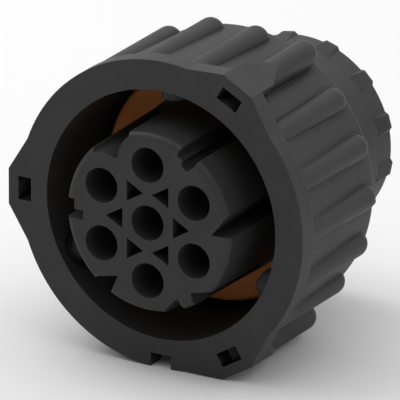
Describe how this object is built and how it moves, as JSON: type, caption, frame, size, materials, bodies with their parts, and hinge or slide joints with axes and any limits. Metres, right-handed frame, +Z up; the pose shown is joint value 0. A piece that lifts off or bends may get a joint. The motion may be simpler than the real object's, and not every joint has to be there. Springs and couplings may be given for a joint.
{
  "type": "circular bayonet connector socket",
  "caption": "Circular bayonet connector socket with a ribbed turning coupling ring, keyed insulator, interface seal and recessed socket contacts.",
  "frame": {"origin": "on the axis, in the front face of the coupling ring's flange", "axes": "+Y along the axis from the mating face towards the wires, +Z up, +X to the right seen from the front"},
  "size_m": [0.0443, 0.0415, 0.0425],
  "materials": {
    "ring_plastic": "fine moulded black",
    "body_plastic": "fine moulded black",
    "lock_plastic": "natural moulded",
    "orange_silicone": "satin silicone",
    "grommet_silicone": "satin silicone",
    "contact_metal": "plated",
    "spring_steel": "rolled strip"
  },
  "bodies": {
    "shell": {"contact_body": "body_plastic", "interface_seal": "orange_silicone", "spring_washer": "spring_steel", "retaining_clip": "spring_steel", "secondary_lock": "lock_plastic", "wire_grommet": "grommet_silicone", "grommet_retainer": "body_plastic", "contact_1": "contact_metal", "contact_2": "contact_metal", "contact_3": "contact_metal", "contact_4": "contact_metal", "contact_5": "contact_metal", "contact_6": "contact_metal", "contact_7": "contact_metal", "contact_spring_1": "spring_steel", "contact_spring_2": "spring_steel", "contact_spring_3": "spring_steel", "contact_spring_4": "spring_steel", "contact_spring_5": "spring_steel", "contact_spring_6": "spring_steel", "contact_spring_7": "spring_steel"},
    "ring": {"coupling_ring": "ring_plastic"}
  },
  "joints": [
    {"name": "ring_turn", "type": "hinge", "parent": "shell", "child": "ring", "pos_m": [0, 0.0207, 0], "axis": [0, 1, 0], "range_deg": [0, 60]}
  ]
}
